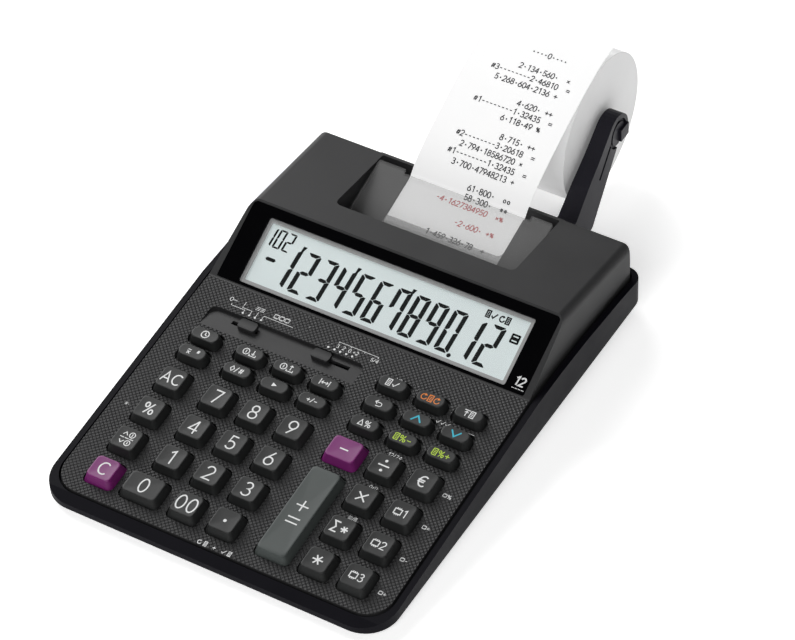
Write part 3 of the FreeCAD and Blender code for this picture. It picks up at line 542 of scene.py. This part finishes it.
def key_rings(half_x, half_y, height, small, place):
    """Outlines of a key from its hidden flange up to the middle of its dished top."""
    skirt, dish = (SMALL_SKIRT, SMALL_DISH) if small else (SKIRT, DISH)
    corner = half_y * 0.94 if small else CORNER
    foot_x, foot_y = half_x + RIM + skirt, half_y + RIM + skirt
    flange_x, flange_y = half_x + RIM + SKIRT + FLANGE_X, half_y + RIM + SKIRT + FLANGE_Y
    # half width, half depth, corner radius, height above the deck
    profile = [(flange_x, flange_y, corner, level) for level in (FLANGE_LOW, FLANGE_HIGH)]
    profile += [(foot_x - NECK_INSET, foot_y - NECK_INSET, corner, level) for level in (NECK_LOW, NECK_HIGH)]
    profile.append((foot_x, foot_y, corner + 0.9, SKIRT_LOW))
    steps = 5
    for i in range(1, steps + 1):
        rise = i / steps
        grow = RIM + skirt * (1 - rise)
        profile.append((half_x + grow, half_y + grow, corner + grow * CORNER_SPREAD,
                        SKIRT_LOW + (height - RIM_DROP - SKIRT_LOW) * rise))
    for turn in (20, 42, 66, 90):
        a = math.radians(turn)
        grow = RIM * math.cos(a)
        profile.append((half_x + grow, half_y + grow, corner + grow * CORNER_SPREAD,
                        height - RIM_DROP * (1 - math.sin(a))))
    rings = []
    for hx, hy, r, level in profile:
        rings.append([place(px, py, level) for px, py in rounded(hx, hy, min(r, hy * CORNER_LIMIT))])
    top = rounded(half_x, half_y, min(corner, half_y * CORNER_LIMIT))
    for scale in (0.93, 0.84, 0.7, 0.5, 0.28, 0.08):
        level = height - dish * (1 - scale ** 2)
        rings.append([place(px * scale, py * scale, level) for px, py in top])
    return rings


def build_key(node):
    x, y, half_x, half_y, height = measure_key(node)
    small = height < (MAIN_HEIGHT + SMALL_HEIGHT) / 2
    dish = SMALL_DISH if small else DISH
    place = on(DECK, x, y)
    name = node.removeprefix("key_")
    look, slot = KEY, "key_black"
    if name in ("clear_entry", "minus"):
        look, slot = KEY_PURPLE, "key_purple"
    elif name == "plus_equals":
        look, slot = KEY_GREY, "key_grey"
    cap = Solid()
    cap.loft(key_rings(half_x, half_y, height, small, place))
    cap.make("cap_" + name, look, node, slot, [node], sharp=50.0)

    def on_top(px, py, h):
        scale = min(max(abs(px) / half_x, abs(py) / half_y), 1.0)
        return place(px, py, height - dish * (1 - scale ** 2) + h)

    legend = Solid()
    for marks, size, dx, dy, ink in LEGENDS[name]:
        stroke = 0.66 if size > 5 else 0.46 if size > 3.6 else 0.4
        write(legend, marks, dx, dy, size, stroke, on_top)
    legend.make("legend_" + name, LEGENDS[name][0][4], node)


for node_name in sorted(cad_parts):
    if node_name.startswith("key_") and node_name != "key_mat":
        build_key(node_name)

# ---------------------------------------------------------------- marks on the deck
SWITCH_DOTS = {"mode": (-54.0, -50.8, -47.9, -44.8), "rounding": (-11.4, -8.4, -5.5, -2.6, 0.3)}
MARK_LOW, MARK_HIGH = -0.06, 0.03      # a printed mark's underside and face, from the deck


def deck_marks():
    marks = Solid()
    place = on(DECK)
    slope = 1 / math.cos(math.radians(DECK_ANGLE))

    def put(words, x, y, size, stroke=0.26, **more):
        write(marks, words, x, y * slope, size, stroke, place, low=MARK_LOW, high=MARK_HIGH, **more)

    def rule(points):
        marks.ribbon([(x, y * slope) for x, y in points], 0.22, MARK_LOW, MARK_HIGH, place)

    for x in SWITCH_DOTS["mode"] + SWITCH_DOTS["rounding"]:
        marks.prism(arc(x, 117.0 * slope, 0.5, 0.5, 0, 360, 16), MARK_LOW, MARK_HIGH, place)
    first, second, third, fourth = SWITCH_DOTS["mode"]
    rule([(first, 117.2), (first, 118.7), (-60.9, 118.7), (-60.9, 119.6)])
    rule([(second, 117.2), (second, 119.5), (-55.6, 119.5), (-55.6, 120.2)])
    rule([(third, 117.2), (third, 120.2)])
    rule([(fourth, 117.2), (fourth, 119.4), (-30.4, 119.4)])
    put(["off", "bar"], -61.2, 121.6, 2.3)
    put(["on"], -55.6, 121.7, 2.3)
    put(["list", "list"], -48.0, 121.8, 2.1)
    put(["chip", "chip", "chip"], -37.0, 121.5, 2.6)
    for x, words in zip(SWITCH_DOTS["rounding"], (".", "3", "2", "0", "+2")):
        put(words, x + 0.5, 119.2, 1.9, 0.24)
    put("5/4", 10.0, 119.2, 1.9, 0.24)
    rule([(-8.4, 120.6), (-8.4, 121.4), (10.8, 121.4), (10.8, 120.5)])
    rule([(-2.4, 120.6), (-2.4, 121.4)])
    rule([(4.2, 120.6), (4.2, 121.4)])
    rule([(37.4, 103.2), (46.4, 103.2)])
    rule([(58.0, 103.2), (67.0, 103.2)])
    put(["check", "check", "check"], 52.2, 103.3, 2.1, 0.28)
    put(["on", "/", "off"], 24.6, 114.7, 1.6, 0.2)
    put("12/24", 43.0, 79.8, 1.9, 0.24)
    put(["off", "/", "off"], 43.2, 62.0, 1.7, 0.24)
    put(["list", "/", "page"], 43.5, 44.9, 1.7, 0.24)
    for sign, x, y in (("-", 72.6, 36.3), ("+", 73.0, 18.5), ("=", 72.6, 54.0), ("%", 72.4, 71.5)):
        put(["chip", sign], x, y, 2.0)
    put(["#", "."], -72.0, 54.2, 1.8, 0.24)
    put(["again", "page", " ", "+", " ", "check", "page"], 0.5, 7.6, 2.2, 0.3, gap=0.5)
    marks.make("deck_marks", WHITE, "case")


deck_marks()

# ---------------------------------------------------------------- display
PANEL_LENGTH = math.hypot(PANEL_HIGH[1] - deck_z(PANEL_LOW), PANEL_HIGH[0] - PANEL_LOW)
LENS_HALF, LENS_T = 75.15, 1.28
LENS_LOW, LENS_HIGH = 0.65, PANEL_LENGTH - 1.25
WINDOW = (-64.9, 65.6, 1.95, 33.1)     # left, right, low and high edge of the clear window
LCD_DEPTH, INK_HALF = 1.38, 0.02       # depth of the display's face, and half a segment's thickness
BEZEL_WIDE = 1.75


def frame_ring(solid, outer, inner, low, high, place):
    """Flat frame between two outlines with equal numbers of points."""
    rings = [[place(x, y, h) for x, y in outline] for outline, h in
             ((outer, low), (outer, high), (inner, high), (inner, low))]
    solid.loft(rings, closed=True)


def shifted(points, x, y):
    return [(px + x, py + y) for px, py in points]


def build_display():
    place = on(PANEL)
    left, right, low, high = WINDOW

    def window(inset, corner):
        half_x, half_y = (right - left) / 2 - inset, (high - low) / 2 - inset
        return shifted(rounded(half_x, half_y, corner), (left + right) / 2, (low + high) / 2)

    outer = shifted(rounded(LENS_HALF, (LENS_HIGH - LENS_LOW) / 2, 1.6), 0, (LENS_LOW + LENS_HIGH) / 2)
    surround = Solid()
    frame_ring(surround, outer, window(0.0, 1.0), -LENS_T, 0.0, place)
    surround.make("display_surround", LENS, "case", "lens_black", ["display_lens"])
    pane = Solid()
    pane.prism(window(0.02, 1.0), -0.7, -0.02, place)
    pane.make("display_pane", PANE, "case", "lens_black")
    bezel = Solid()
    frame_ring(bezel, window(0.03, 1.0), window(BEZEL_WIDE, 0.5), -LCD_DEPTH, -0.8, place)
    bezel.make("display_bezel", BEZEL, "case", "lens_black")

    twelve = Solid()
    write(twelve, "12", 71.3, 5.9, 4.0, 0.72, place, slant=0.12, gap=0.1, low=-0.05, high=0.02)
    write(twelve, ["bar"] * 4, 71.6, 2.5, 1.5, 0.3, place, gap=0.2, low=-0.05, high=0.02)
    twelve.make("display_legend", WHITE, "case")


# segments lit for each digit: a top, b upper right, c lower right, d bottom, e lower left, f upper left,
# g middle
SEGMENTS = {
    "0": "abcdef", "1": "bc", "2": "abged", "3": "abgcd", "4": "fgbc", "5": "afgcd",
    "6": "afgedc", "7": "fabc", "8": "abcdefg", "9": "abcdfg",
}
LEVEL_SHARE = 0.78     # how thick the level segments are, as a share of the upright ones
CORNER_SHARE = 0.45    # how much of a digit's outer corner is cut off, likewise


def segment_outlines(width, height, thick, gap):
    """Outlines of the seven segments, mitred where they meet, from the digit's lower left corner."""
    flat, cut = thick * LEVEL_SHARE, thick * CORNER_SHARE
    mid, deep, low_cut = height / 2, thick + gap, cut * LEVEL_SHARE

    def turned(points):
        return [(width - x, height - y) for x, y in points]

    bottom = [(cut, 0.0), (width - cut, 0.0), (width - cut / 2 - gap, low_cut / 2), (width - deep, flat),
              (deep, flat), (cut / 2 + gap, low_cut / 2)]
    upright = [(0.0, low_cut + gap), (cut / 2, low_cut / 2 + gap), (thick, flat + gap),
               (thick, mid - flat / 2 - gap / 2), (thick / 2, mid - gap / 2), (0.0, mid - gap / 2)]
    mirrored = [(width - x, y) for x, y in upright[::-1]]
    middle = [(thick / 2 + gap, mid), (deep, mid - flat / 2), (width - deep, mid - flat / 2),
              (width - thick / 2 - gap, mid), (width - deep, mid + flat / 2), (deep, mid + flat / 2)]
    return {"a": turned(bottom), "b": turned(upright), "c": mirrored, "d": bottom, "e": upright,
            "f": turned(mirrored), "g": middle}


def build_digits():
    ink = Solid()
    place = on(PANEL, level=-LCD_DEPTH)
    lean = math.tan(math.radians(4.6))

    def lit(outline, x, y):
        ink.prism([(x + px + lean * py, y + py) for px, py in outline], -INK_HALF, INK_HALF, place)

    def number(text, x, y, width, height, thick, pitch):
        outlines = segment_outlines(width, height, thick, thick * 0.1)
        for i, digit in enumerate(text):
            for key in SEGMENTS[digit]:
                lit(outlines[key], x + i * pitch, y)

    width, height, pitch, thick = 6.9, 19.4, 9.05, 2.05
    low = 5.75
    first = -44.1 - width - lean * height
    number("123456789012", first, low, width, height, thick, pitch)
    for after in (0, 3, 6):
        x = first + after * pitch + width + 0.25
        lit([(0.0, 0.0), (0.7, 0.0), (1.9, 3.4), (0.1, 3.4)], x, low + height - 1.9)
    lit(arc(0, 0, 0.95, 0.95, 0, 360, 16), first + 9 * pitch + width + 1.0, low - 0.3)
    lit([(0.0, 0.8), (0.8, 0.0), (4.4, 0.0), (5.2, 0.8), (4.4, 1.6), (0.8, 1.6)], -59.1, 15.1)
    number("102", WINDOW[0] + 1.4, 21.2, 3.7, 8.9, 0.95, 4.6)
    # status marks on the right
    for x, words in ((46.4, ["page", "check"]), (52.6, ["again", "page"])):
        write(ink, words, x, 28.4, 3.0, 0.6, place, low=-INK_HALF, high=INK_HALF)
    for y in (21.3, 23.3):
        outer, inner = (shifted(rounded(*size), 60.4, y) for size in ((2.1, 1.15, 0.5), (1.25, 0.28, 0.2)))
        frame_ring(ink, outer, inner, -INK_HALF, INK_HALF, place)
    ink.make("display_digits", LCD_INK, "case")


build_display()
build_digits()

# ---------------------------------------------------------------- paper
COVER_HINGE, COVER_SLOPE, COVER_T = (183.4, 23.9), 16.3, 1.6
COVER_LEFT, COVER_RIGHT, COVER_REACH, TEAR_NOTCH = -43.6, 42.8, 33.0, 2.2
NOTCH_LEFT, NOTCH_RIGHT = -30.5, 32.5
PLATEN_Y, PLATEN_Z, PLATEN_R = 193.0, 13.2, 5.0
SLOT = (221.4, 17.0)                   # where the paper from the roll enters the case
PAPER_T, PAPER_GAP = 0.16, 0.4         # the strip, and its distance from what it passes
STRIP_OUT = [(214.4, 32.6), (217.0, 35.4), (222.0, 39.3), (230.0, 44.2), (240.0, 49.3), (252.0, 55.0),
             (264.0, 60.0), (275.0, 64.0), (284.0, 66.6), (291.0, 67.6), (297.0, 67.9)]


def along_cover(distance, off):
    """Point at a distance from the cover's hinge along its middle, and off it."""
    a = math.radians(COVER_SLOPE)
    return (COVER_HINGE[0] + distance * math.cos(a) - off * math.sin(a),
            COVER_HINGE[1] + distance * math.sin(a) + off * math.cos(a))


def paper_route():
    """Path of the paper in y and z: off the roll, round the feed roller, then out under the cover."""
    dy, dz = ROLL_Y - SLOT[0], ROLL_Z - SLOT[1]
    reach, wound = math.hypot(dy, dz), ROLL_R + PAPER_GAP
    turn = math.atan2(dz, dy) - math.asin(wound / reach)
    run = math.sqrt(reach ** 2 - wound ** 2)
    inside = [(SLOT[0] + run * f * math.cos(turn), SLOT[1] + run * f * math.sin(turn))
              for f in (1, 0.66, 0.33, 0)]
    inside += [(212.0, 16.2), (203.0, 10.6)]
    inside += arc(PLATEN_Y, PLATEN_Z, PLATEN_R + PAPER_GAP, PLATEN_R + PAPER_GAP, -70.0, -205.0, 12)
    shown = [along_cover(at, -COVER_T / 2 - PAPER_GAP) for at in (7.5, 17.0, 25.0, 29.8)]
    return inside + shown[:1], shown + STRIP_OUT


def even_path(points, step):
    """Smooth curve through the points (Catmull-Rom), resampled at about the given step."""
    dense = []
    for i in range(len(points) - 1):
        p = [Vector(points[min(max(i + k, 0), len(points) - 1)]) for k in (-1, 0, 1, 2)]
        pieces = max(2, round((p[2] - p[1]).length / step))
        for j in range(pieces):
            t = j / pieces
            square = 2 * p[0] - 5 * p[1] + 4 * p[2] - p[3]
            cube = 3 * p[1] - p[0] - 3 * p[2] + p[3]
            dense.append(0.5 * (2 * p[1] + (p[2] - p[0]) * t + square * t ** 2 + cube * t ** 3))
    return dense + [Vector(points[-1])]


INSIDE, OUTSIDE = paper_route()
SHOWN_PATH = even_path(OUTSIDE, 0.9)
SHOWN_AT = [0.0]                       # distance along the shown path at each of its points
for here, ahead in zip(SHOWN_PATH, SHOWN_PATH[1:]):
    SHOWN_AT.append(SHOWN_AT[-1] + (ahead - here).length)


def off_path(x, spot, along, h):
    """Place at the height h above a spot of the paper's path, whose direction there is along."""
    return CASE @ Vector((x, spot.x - along.y * h, spot.y + along.x * h))


def on_paper(x, s, h):
    """Place on the shown part of the strip: s is the distance along it, h the height above its middle."""
    i = max(0, min(len(SHOWN_AT) - 2, bisect.bisect_right(SHOWN_AT, s) - 1))
    a, b = SHOWN_PATH[i], SHOWN_PATH[i + 1]
    spot = a + (b - a) * ((s - SHOWN_AT[i]) / (SHOWN_AT[i + 1] - SHOWN_AT[i]))
    return off_path(x, spot, (b - a).normalized(), h)


def hold_paper(piece):
    """Bakes the placement of a piece of the strip into its mesh."""
    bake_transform(piece)


def build_strip():
    path = even_path(INSIDE, 1.5)[:-1] + SHOWN_PATH
    half, teeth = PAPER_W / 2, 60
    across = [PAPER_X - half + PAPER_W * i / (2 * teeth) for i in range(2 * teeth + 1)]
    strip = Solid()
    columns = []
    for i, spot in enumerate(path):
        before, after = path[max(i - 1, 0)], path[min(i + 1, len(path) - 1)]
        along = (after - before).normalized()
        bite = 0.45 if i == len(path) - 1 else 0.0     # torn on a toothed edge
        column = []
        for h, xs in ((-PAPER_T / 2, across), (PAPER_T / 2, across[::-1])):
            column += [off_path(x, spot - along * bite * (j % 2), along, h) for j, x in enumerate(xs)]
        columns.append(column)
    strip.skin(columns)
    count = len(columns[0])
    for end in (0, len(columns) - 1):
        a = end * count
        for j in range(2 * teeth):
            quad = (a + j, a + j + 1, a + count - 2 - j, a + count - 1 - j)
            strip.faces.append(quad[::-1] if end == 0 else quad)
    hold_paper(strip.make("paper_strip", PAPER, None, "paper", ["printed_strip"]))


# rows of the print-out from the free end down, 20 columns each; "r" rows are printed in red
PRINT_ROWS = [
    ("k", "       ....0....    "), None,
    ("k", "      2.134.560.  x "), ("k", "#3--------2.46810  ="), ("k", "  5.268.604.2136 +  "), None,
    ("k", "          4.620. ++ "), ("k", "#1--------1.32435  ="), ("k", "        6.118.49 %  "), None,
    ("k", "          8.715. ++ "), ("k", "#2--------3.20618  ="), ("k", "  2.794.18586720 x  "),
    ("k", "#1--------1.32435  ="), ("k", "  3.700.47948213 +  "), None,
    ("k", "        61.800.  oo "), ("k", "        58.300.  ** "), ("r", "  -4.1627384950  x% "), None,
    ("r", "         -2.600. +% "), None, ("k", "    1.459.326.78  + "),
]
ROW_PITCH, COLUMN_PITCH = 4.33, 1.95
ROW_LAST, COLUMN_FIRST = 2.2, -15.0    # place of the lowest row and of the leftmost column
PRINT_SIZES = {"-": 2.0, ".": 4.4, "%": 2.1, "x": 2.4}     # all other characters are 2.8 high


def build_print():
    solids = {"k": Solid(), "r": Solid()}
    for i, entry in enumerate(PRINT_ROWS):
        if not entry:
            continue
        ink, text = entry
        s = ROW_LAST + ROW_PITCH * (len(PRINT_ROWS) - 1 - i)
        for j, mark in enumerate(text):
            if mark != " ":
                write(solids[ink], mark, COLUMN_FIRST + COLUMN_PITCH * j, s, PRINT_SIZES.get(mark, 2.8),
                      0.44, on_paper, low=0.0, high=PAPER_T / 2 + 0.07)
    for key, name, look in (("k", "print_black", INK), ("r", "print_red", RED_INK)):
        hold_paper(solids[key].make(name, look, None, "paper"))


def build_roll():
    """Wound paper on a thin core, with faintly stepped ends."""
    half = PAPER_W / 2
    turns, first, last = 14, CORE_R + 2.2, ROLL_R - 0.6
    steps = [first + (last - first) * i / turns for i in range(turns + 1)]
    right_end = [(half - 0.35, CORE_R), (half - 0.35, CORE_R + 1.6), (half - 0.12, CORE_R + 1.7)]
    right_end += [(half - 0.10 + 0.06 * math.sin(2.1 * i), r) for i, r in enumerate(steps)]
    right_end += [(half - 0.14, ROLL_R - 0.12), (half - 0.3, ROLL_R)]
    profile = right_end + [(-x, r) for x, r in reversed(right_end)]
    segments = 128
    roll = Solid()
    roll.loft([[CASE @ Vector((PAPER_X + x, y, z)) for y, z in arc(ROLL_Y, ROLL_Z, r, r, 0, 360, segments)]
               for x, r in profile], closed=True)
    roll.make("wound_paper", PAPER_ROLL_SHADED, "paper_roll", "paper", ["paper_roll"])


def build_cover():
    """Tear cover: clear above the paper, with a grey sheet of painted shadow on the paper towards its hinge,
    smoked beside the paper.
    """
    lean = on(CASE @ Matrix.Translation((0, *COVER_HINGE)) @ turn_x(COVER_SLOPE))
    half, tear, cut = COVER_T / 2, COVER_REACH - TEAR_NOTCH, 0.6
    outline = [(COVER_LEFT, -0.7), (COVER_RIGHT, -0.7), (COVER_RIGHT, COVER_REACH - cut),
               (COVER_RIGHT - cut, COVER_REACH), (NOTCH_RIGHT, COVER_REACH), (NOTCH_RIGHT, tear),
               (NOTCH_LEFT, tear), (NOTCH_LEFT, COVER_REACH), (COVER_LEFT + cut, COVER_REACH),
               (COVER_LEFT, COVER_REACH - cut)]
    plate = Solid()
    plate.prism(outline, -half, half, lean)
    plate.make("tear_cover", SMOKED, "printer_cover", "smoked_plastic", ["printer_cover"])

    paper_left, paper_right = PAPER_X - PAPER_W / 2 - 0.3, PAPER_X + PAPER_W / 2 - 0.3
    front, low, corner = 1.4, 10.0, 2.8    # edges of the painted shadow, and its round rise beside the paper
    skin_low, skin_high = -half - 0.06, -half + 0.02
    # painted shadow: a grey sheet under the cover, over the paper's lower part, standing for the front wall's
    # shadow
    shadow_sheet = Solid()
    edge = [(paper_left, front), (paper_right, front)]
    edge += arc(paper_right - corner, low + corner, corner, corner, 0, -90, 8) + [(paper_left, low)]
    shadow_sheet.prism(edge, skin_low, skin_high, lean)
    shadow_sheet.make("cover_painted_shadow", PAINTED_SHADOW, "printer_cover", "smoked_plastic")
    tint = Solid()
    inset = 0.2
    for side, inner, notch, outer in ((1, paper_right, NOTCH_RIGHT, COVER_RIGHT),
                                      (-1, paper_left, NOTCH_LEFT, COVER_LEFT)):
        edge_x, notch_x, back = outer - side * inset, notch + side * inset, COVER_REACH - 0.7
        shape = [(inner, front), (edge_x, front), (edge_x, back), (notch_x, back), (notch_x, tear - inset),
                 (inner, tear - inset)]
        tint.prism(shape[::side], skin_low, skin_high, lean)
    tint.make("cover_tint", TINTED, "printer_cover", "smoked_plastic")
    radius, end_gap = 1.28, 1.4
    barrel = Solid()
    barrel.loft([[CASE @ Vector((x, y, z)) for y, z in arc(*COVER_HINGE, radius, radius, 0, 360, 20)]
                 for x in (COVER_LEFT + end_gap, COVER_RIGHT - end_gap)])
    barrel.make("cover_barrel", TINTED, "printer_cover", "smoked_plastic")


build_strip()
build_print()
build_roll()
build_cover()

# ---------------------------------------------------------------- floor, light and camera
LAMPS = (("key_light", (-1.7, 0.9, 1.5), 56.0, 1.6), ("edge_light", (1.3, 1.2, 0.8), 2.5, 0.9),
         ("front_light", (0.4, -1.7, 1.3), 20.0, 1.2))
SKY_LOW, SKY_HIGH = 0.45, 0.9          # radiance of the soft studio sky at the horizon and added overhead
FLAG = (-0.378, -0.269, 0.887)         # a black flag hangs this way, so the display reads black
FLOOR_HALF, FLOOR_GLOW = 6.0, 0.62


def build_world():
    """Soft overhead sky that darkens towards the horizon, with a dark flag above the display."""
    world = bpy.data.worlds.new("studio")
    world.use_nodes = True
    tree = world.node_tree
    toward = add_node(tree, "ShaderNodeTexCoord").outputs["Generated"]
    parts = add_node(tree, "ShaderNodeSeparateXYZ", None, Vector=toward)
    height = maths(tree, "MAXIMUM", parts.outputs["Z"], 0.0)
    sky = maths(tree, "ADD", maths(tree, "MULTIPLY", height, SKY_HIGH), SKY_LOW)
    near_flag = add_node(tree, "ShaderNodeVectorMath", {"operation": "DOT_PRODUCT"}, i0=toward, i1=FLAG)
    shade = add_node(tree, "ShaderNodeMapRange", None, i0=near_flag.outputs["Value"], i1=0.90, i2=0.97,
                     i3=1.0, i4=0.03).outputs[0]
    background = tree.nodes["Background"]
    tree.links.new(maths(tree, "MULTIPLY", sky, shade), background.inputs["Strength"])
    bpy.context.scene.world = world
    bpy.context.scene.view_settings.view_transform = "Standard"


def build_floor():
    mesh = bpy.data.meshes.new("floor")
    corners = [(x * FLOOR_HALF, y * FLOOR_HALF, 0) for x, y in ((-1, -1), (1, -1), (1, 1), (-1, 1))]
    mesh.from_pydata(corners, [], [(0, 1, 2, 3)])
    made, tree, shader = new_material("pale_floor")
    faint = spread(tree, noise(tree, object_coords(tree), 2.0), 0.99, 1.0)
    tree.links.new(shade_colour(tree, (0.93, 0.93, 0.93), faint), shader.inputs["Base Color"])
    shader.inputs["Roughness"].default_value = 0.9
    shader.inputs["Specular IOR Level"].default_value = 0.1
    shader.inputs["Emission Color"].default_value = (1, 1, 1, 1)
    shader.inputs["Emission Strength"].default_value = FLOOR_GLOW
    mesh.materials.append(made)
    floor = bpy.data.objects.new("floor", mesh)
    bpy.context.scene.collection.objects.link(floor)


def build_lamps():
    for name, spot, power, wide in LAMPS:
        data = bpy.data.lights.new(name, "AREA")
        data.energy, data.size = power, wide
        lamp = bpy.data.objects.new(name, data)
        lamp.location = spot
        lamp.rotation_euler = (-Vector(spot)).to_track_quat("-Z", "Y").to_euler()
        bpy.context.scene.collection.objects.link(lamp)


def build_camera():
    data = bpy.data.cameras.new("camera")
    data.lens, data.sensor_width = 161.8, 36.0
    data.shift_x, data.shift_y = -0.0051, -0.0013
    data.clip_start, data.clip_end = 0.05, 50.0
    camera = bpy.data.objects.new("camera", data)
    camera.location = (0.58054, -0.94914, 1.06654)
    camera.rotation_euler = [math.radians(a) for a in (46.457, 1.072, 30.469)]
    bpy.context.scene.collection.objects.link(camera)
    bpy.context.scene.camera = camera


build_floor()
build_world()
build_lamps()
build_camera()
